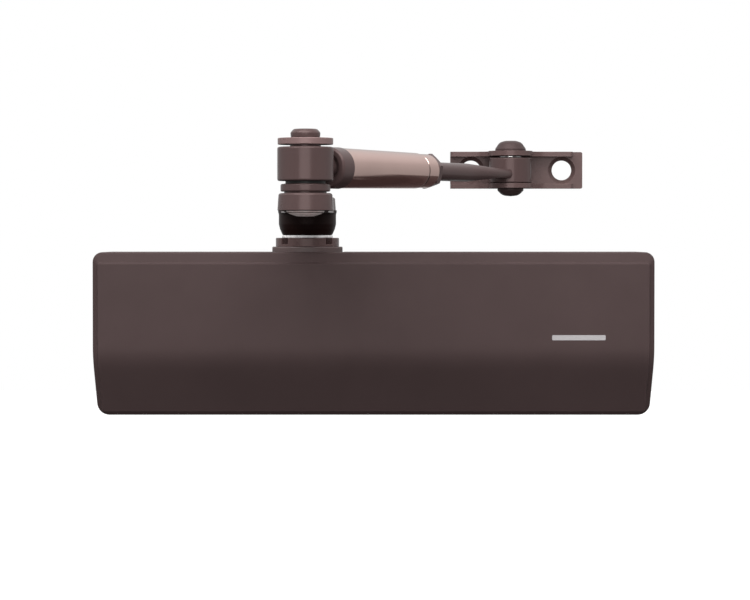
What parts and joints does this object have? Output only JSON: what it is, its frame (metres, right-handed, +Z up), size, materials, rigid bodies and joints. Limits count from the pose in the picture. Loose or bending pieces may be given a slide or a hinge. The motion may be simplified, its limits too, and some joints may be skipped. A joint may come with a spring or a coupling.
{
  "type": "door closer",
  "caption": "Surface-mounted hydraulic door closer: long covered body, spindle, flat main arm, adjustable forearm and channel shoe.",
  "frame": {"origin": "on the door face (the back of the housing), at the middle of the cover's length and height", "axes": "+X along the body towards its spring end, +Y into the door, +Z up along the spindle"},
  "size_m": [0.24, 0.1577, 0.1191],
  "materials": {
    "cover_brown": "satin dark brown",
    "arm_brown": "semi-gloss dark brown paint",
    "bronze_paint": "glossy metallic bronze paint",
    "black_oxide": "near-black oxide",
    "cast_body": "as cast, painted dark brown",
    "machined_steel": "ground",
    "bright_steel": "bright",
    "spring_steel": "dark, oiled",
    "seal_rubber": "matt",
    "valve_brass": "turned",
    "nylon_black": "matt"
  },
  "bodies": {
    "closer_body": {"cover": "cover_brown", "cover_screw_left": "bright_steel", "cover_screw_right": "bright_steel", "housing": "cast_body", "left_end_plug": "bright_steel", "right_end_plug": "bright_steel", "left_plug_seal": "seal_rubber", "right_plug_seal": "seal_rubber", "spring_seat": "bright_steel", "closing_spring": "spring_steel", "upper_bearing": "bright_steel", "spindle_seal": "seal_rubber", "gland_nut": "arm_brown", "lower_bearing": "bright_steel", "lower_cap": "bright_steel", "lower_cap_seal": "seal_rubber"},
    "piston_body": {"piston": "machined_steel", "check_ball": "bright_steel", "check_retainer": "bright_steel"},
    "spindle_and_arm": {"pinion_shaft": "machined_steel", "thrust_washer": "bright_steel", "arm_hub": "black_oxide", "main_arm": "arm_brown", "arm_washer": "bright_steel", "arm_screw": "bright_steel", "elbow_pin": "arm_brown", "elbow_ring": "arm_brown", "elbow_disc": "arm_brown"},
    "forearm": {"knuckle": "arm_brown", "knuckle_bush": "nylon_black", "tube_collar": "arm_brown", "forearm_tube": "bronze_paint", "tube_sleeve": "bronze_paint"},
    "rod_nut": {"lock_nut": "arm_brown"},
    "rod_body": {"arm_rod": "arm_brown"},
    "shoe": {"shoe_bracket": "arm_brown", "shoe_rivet": "arm_brown", "shoe_washer": "bright_steel"},
    "closing_screw": {"closing_valve": "valve_brass", "closing_valve_seal": "seal_rubber"},
    "latching_screw": {"latching_valve": "valve_brass", "latching_valve_seal": "seal_rubber"}
  },
  "joints": [
    {"name": "spindle_turn", "type": "hinge", "parent": "closer_body", "child": "spindle_and_arm", "pos_m": [-0.0288, -0.026, 0.042], "axis": [0, 0, 1], "range_deg": [0, 170], "stiffness_Nm_per_rad": 6},
    {"name": "piston_slide", "type": "slide", "parent": "closer_body", "child": "piston_body", "axis": [1, 0, 0], "range_m": [0, 0.0223], "deforming": ["closing_spring"]},
    {"name": "elbow_swing", "type": "hinge", "parent": "spindle_and_arm", "child": "forearm", "pos_m": [-0.0268, -0.1466, 0.07], "axis": [0, 0, 1], "continuous": true},
    {"name": "rod_extension", "type": "slide", "parent": "forearm", "child": "rod_body", "axis": [0.559, 0.8292, 0], "range_m": [-0.02, 0.02]},
    {"name": "lock_nut_turn", "type": "hinge", "parent": "forearm", "child": "rod_nut", "pos_m": [0.02264, -0.07326, 0.069], "axis": [0.559, 0.8292, 0], "range_deg": [-60, 60]},
    {"name": "shoe_pivot", "type": "hinge", "parent": "rod_body", "child": "shoe", "pos_m": [0.0599, -0.018, 0.071], "axis": [0, 0, 1], "range_deg": [-124, 56]},
    {"name": "closing_valve_turn", "type": "hinge", "parent": "closer_body", "child": "closing_screw", "pos_m": [-0.064, -0.026, -0.025], "axis": [0, 0, 1], "range_deg": [-360, 360]},
    {"name": "latching_valve_turn", "type": "hinge", "parent": "closer_body", "child": "latching_screw", "pos_m": [-0.076, -0.026, -0.025], "axis": [0, 0, 1], "range_deg": [-360, 360]}
  ],
  "couplings": [
    {"joint": "piston_slide", "follows": "spindle_turn", "m_per_rad": 0.0075}
  ]
}
